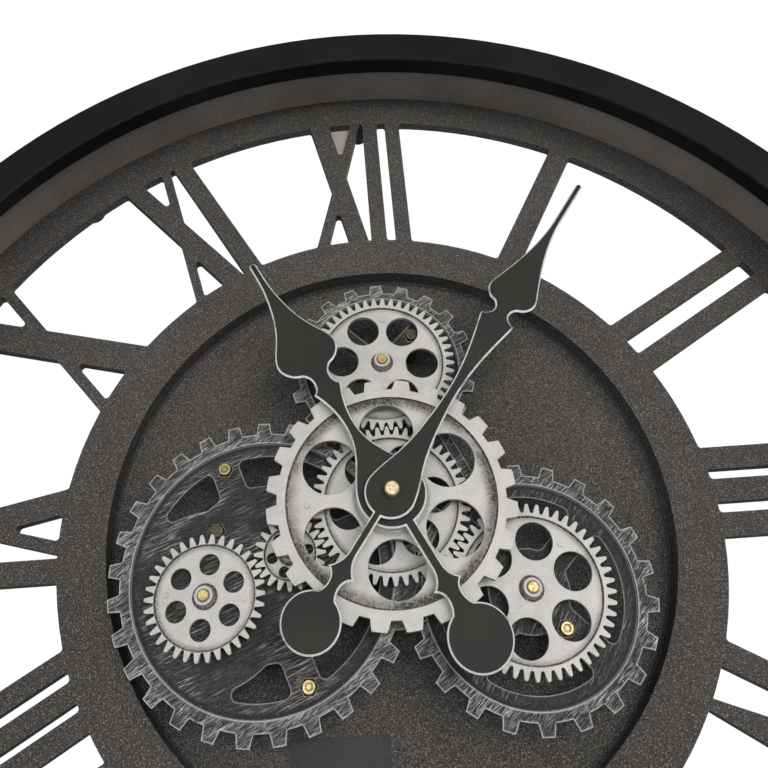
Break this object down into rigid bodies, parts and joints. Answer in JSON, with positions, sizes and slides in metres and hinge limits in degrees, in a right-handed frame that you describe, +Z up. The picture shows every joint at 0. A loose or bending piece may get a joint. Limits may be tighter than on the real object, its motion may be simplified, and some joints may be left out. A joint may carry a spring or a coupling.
{
  "type": "skeleton wall clock",
  "caption": "Round glazed wall clock with cut-through Roman numerals, open silver gear train that turns, and black spade hands.",
  "frame": {"origin": "centre of the round part of the hanging keyhole, on the wall plane at the back of the clock", "axes": "+Z up through XII, +Y into the wall, so the dial faces -Y, +X towards III"},
  "size_m": [0.6, 0.095, 0.6],
  "materials": {
    "case_paint": "satin black enamel",
    "glass": "clear float glass",
    "dial_paint": "fibreboard under matt black-brown hammered paint with fine bright flecks",
    "pan_paint": "the same speckled paint on pressed sheet",
    "plaque_paint": "plain dark plate",
    "frame_metal": "black paint rubbed through to bright metal along the edges",
    "antique_silver": "silver with a dark antique wash in the recesses",
    "brass": "turned brass",
    "hand_paint": "satin black with bright bevelled edges",
    "steel": "zinc plated steel",
    "washer_black": "blackened",
    "black_plastic": "fine-textured moulding",
    "white_plastic": "natural acetal",
    "rubber": "soft",
    "cell_wrap": "plain shrink wrap",
    "board": "solder resist",
    "copper": "enamelled winding wire"
  },
  "bodies": {
    "case": {"aa_cells": "cell_wrap", "axle_pins": "brass", "battery_contacts": "steel", "bush_collar": "steel", "bush_nut": "brass", "bush_washer": "steel", "case_ring": "case_paint", "centre_bush": "brass", "circuit_board": "board", "dial_plate": "dial_paint", "drive_housing": "black_plastic", "drive_lid": "black_plastic", "drive_lid_screws": "steel", "drive_motor": "steel", "fixing_tab": "steel", "frame_plate": "frame_metal", "frame_posts": "steel", "frame_screws": "brass", "frame_washers": "washer_black", "glass_pane": "glass", "glass_retainer": "case_paint", "hanger_bracket": "steel", "hub_clip": "steel", "motor_coil": "copper", "motor_stator": "steel", "movement_cover": "black_plastic", "movement_pins": "brass", "movement_shell": "black_plastic", "pan_plaque": "plaque_paint", "rear_hoop": "steel", "rear_lugs": "washer_black", "rear_screws": "steel", "recess_pan": "pan_paint", "rubber_bumpers": "rubber", "standoff_posts": "steel", "switch_base": "black_plastic"},
    "hub": {"large_gear": "antique_silver", "hub_tube": "steel", "central_fine_gear": "antique_silver", "drive_wheel": "black_plastic"},
    "top_wheel": {"top_gear": "antique_silver"},
    "right_wheel": {"right_gear": "antique_silver"},
    "idler": {"idler_gear": "antique_silver"},
    "left_wheel": {"left_gear": "antique_silver"},
    "drive_output": {"drive_pinion": "black_plastic", "output_wheel": "white_plastic"},
    "motor_rotor": {"motor_pinion": "white_plastic"},
    "minute": {"minute_hand": "hand_paint", "minute_arbor": "brass", "cannon_pinion": "white_plastic", "centre_wheel": "white_plastic", "hand_cap": "brass"},
    "hour": {"hour_hand": "hand_paint", "hour_sleeve": "brass", "hour_wheel": "white_plastic"},
    "motion": {"motion_wheel": "white_plastic"},
    "third": {"third_wheel": "white_plastic"},
    "setting": {"set_knob": "black_plastic"},
    "switch": {"switch_slider": "white_plastic"}
  },
  "joints": [
    {"name": "hub_turn", "type": "hinge", "parent": "case", "child": "hub", "pos_m": [0, -0.06, -0.158], "axis": [0, 1, 0], "continuous": true},
    {"name": "top_gear_turn", "type": "hinge", "parent": "case", "child": "top_wheel", "pos_m": [0.00136, -0.0595, -0.08021], "axis": [0, 1, 0], "continuous": true},
    {"name": "right_gear_turn", "type": "hinge", "parent": "case", "child": "right_wheel", "pos_m": [0.06342, -0.0595, -0.20307], "axis": [0, 1, 0], "continuous": true},
    {"name": "idler_turn", "type": "hinge", "parent": "case", "child": "idler", "pos_m": [-0.05115, -0.0595, -0.17929], "axis": [0, 1, 0], "continuous": true},
    {"name": "left_gear_turn", "type": "hinge", "parent": "case", "child": "left_wheel", "pos_m": [-0.09195, -0.0595, -0.19628], "axis": [0, 1, 0], "continuous": true},
    {"name": "drive_output_turn", "type": "hinge", "parent": "case", "child": "drive_output", "pos_m": [0, -0.03, -0.2043], "axis": [0, 1, 0], "continuous": true},
    {"name": "motor_turn", "type": "hinge", "parent": "case", "child": "motor_rotor", "pos_m": [0, -0.0155, -0.2134], "axis": [0, 1, 0], "continuous": true},
    {"name": "minute_turn", "type": "hinge", "parent": "case", "child": "minute", "pos_m": [0, -0.0824, -0.158], "axis": [0, 1, 0], "continuous": true},
    {"name": "hour_turn", "type": "hinge", "parent": "case", "child": "hour", "pos_m": [0, -0.0784, -0.158], "axis": [0, 1, 0], "continuous": true},
    {"name": "motion_turn", "type": "hinge", "parent": "case", "child": "motion", "pos_m": [-0.011, -0.0175, -0.16435], "axis": [0, 1, 0], "continuous": true},
    {"name": "third_turn", "type": "hinge", "parent": "case", "child": "third", "pos_m": [0.01256, -0.014, -0.15075], "axis": [0, 1, 0], "continuous": true},
    {"name": "setting_turn", "type": "hinge", "parent": "case", "child": "setting", "pos_m": [-0.02325, -0.01, -0.16435], "axis": [0, 1, 0], "continuous": true},
    {"name": "switch_slide", "type": "slide", "parent": "case", "child": "switch", "axis": [1, 0, 0], "range_m": [0, 0.004]}
  ],
  "couplings": [
    {"joint": "top_gear_turn", "follows": "hub_turn", "ratio": -1},
    {"joint": "right_gear_turn", "follows": "hub_turn", "ratio": -1},
    {"joint": "idler_turn", "follows": "hub_turn", "ratio": -2.4},
    {"joint": "left_gear_turn", "follows": "hub_turn", "ratio": 1.4118},
    {"joint": "drive_output_turn", "follows": "hub_turn", "ratio": -3.6},
    {"joint": "motor_turn", "follows": "hub_turn", "ratio": 12.6},
    {"joint": "hour_turn", "follows": "minute_turn", "ratio": 0.083333},
    {"joint": "motion_turn", "follows": "minute_turn", "ratio": -0.33333},
    {"joint": "third_turn", "follows": "minute_turn", "ratio": -8},
    {"joint": "setting_turn", "follows": "minute_turn", "ratio": 1.1667}
  ]
}
